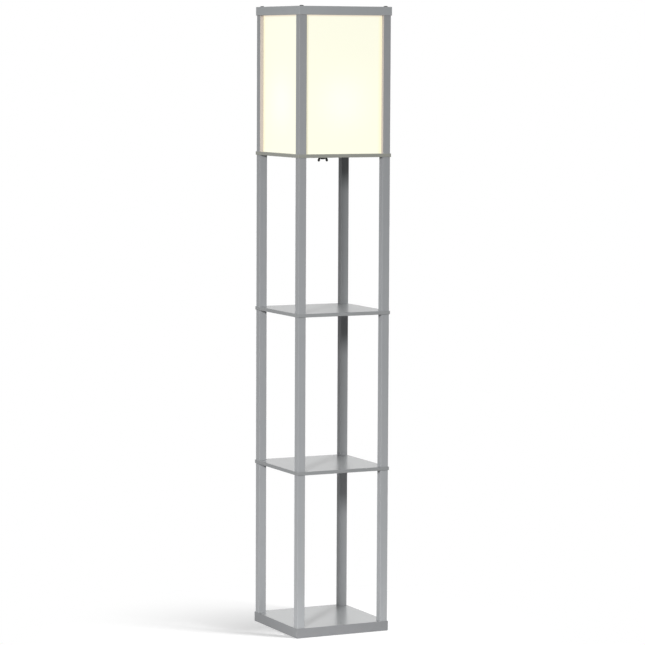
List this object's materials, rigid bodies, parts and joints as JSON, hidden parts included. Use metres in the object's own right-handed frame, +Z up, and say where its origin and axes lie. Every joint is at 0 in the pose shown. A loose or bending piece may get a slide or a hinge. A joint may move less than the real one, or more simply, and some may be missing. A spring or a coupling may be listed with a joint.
{
  "type": "shelf floor lamp",
  "caption": "Slim square floor lamp with open shelves between corner posts, a glowing light box with flat shade panels on top and a lampholder clamped through its floor.",
  "frame": {"origin": "on the floor, under the middle of the base board", "axes": "+Z up along the posts, +X to the right along the front, +Y to the back"},
  "size_m": [0.26, 0.26, 1.6022],
  "materials": {
    "painted_post": "satin grey paint over solid wood",
    "painted_board": "satin grey paint over fibreboard",
    "shade_sheet": "frosted, lets warm light through",
    "zinc_steel": "bright zinc",
    "black_steel": "black oxide",
    "beech": "bare, fluted",
    "black_nylon": "moulded, satin",
    "black_phenolic": "moulded, glossy",
    "brass": "stamped sheet",
    "nickel_cap": "nickel plated, rolled thread",
    "white_plastic": "moulded, satin white",
    "board_aluminium": "white solder mask",
    "light_chip": "glowing",
    "opal_plastic": "opal, glowing"
  },
  "bodies": {
    "stand": {"base_board": "painted_board", "base_bolts": "zinc_steel", "frame_bolts": "black_steel", "frame_dowels": "beech", "frame_rail_back": "painted_post", "frame_rail_front": "painted_post", "frame_rail_left": "painted_post", "frame_rail_right": "painted_post", "holder_cap": "black_phenolic", "holder_contact": "brass", "holder_core": "black_phenolic", "holder_shell": "black_phenolic", "holder_sleeve": "brass", "inserts_lamp": "zinc_steel", "inserts_lower": "zinc_steel", "inserts_middle": "zinc_steel", "inserts_upper": "zinc_steel", "joint_studs_lower": "zinc_steel", "joint_studs_middle": "zinc_steel", "joint_studs_upper": "zinc_steel", "lamp_plate": "painted_board", "post_lamp_back_left": "painted_post", "post_lamp_back_right": "painted_post", "post_lamp_front_left": "painted_post", "post_lamp_front_right": "painted_post", "post_lower_back_left": "painted_post", "post_lower_back_right": "painted_post", "post_lower_front_left": "painted_post", "post_lower_front_right": "painted_post", "post_middle_back_left": "painted_post", "post_middle_back_right": "painted_post", "post_middle_front_left": "painted_post", "post_middle_front_right": "painted_post", "post_upper_back_left": "painted_post", "post_upper_back_right": "painted_post", "post_upper_front_left": "painted_post", "post_upper_front_right": "painted_post", "shade_panel_back": "shade_sheet", "shade_panel_front": "shade_sheet", "shade_panel_left": "shade_sheet", "shade_panel_right": "shade_sheet", "shelf_lower": "painted_board", "shelf_upper": "painted_board", "terminal_screws": "brass", "threaded_tube": "zinc_steel", "washer": "zinc_steel"},
    "bulb": {"bulb_tip": "zinc_steel", "bulb_insulator": "black_phenolic", "bulb_cap": "nickel_cap", "bulb_housing": "white_plastic", "bulb_board": "board_aluminium", "bulb_lights": "light_chip", "bulb_diffuser": "opal_plastic"},
    "nut": {"wing_nut": "black_nylon"}
  },
  "joints": [
    {"name": "bulb_turn", "type": "hinge", "parent": "stand", "child": "bulb", "pos_m": [0, 0, 1.2695], "axis": [0, 0, 1], "continuous": true},
    {"name": "nut_turn", "type": "hinge", "parent": "stand", "child": "nut", "pos_m": [0, 0, 1.216], "axis": [0, 0, 1], "continuous": true}
  ]
}
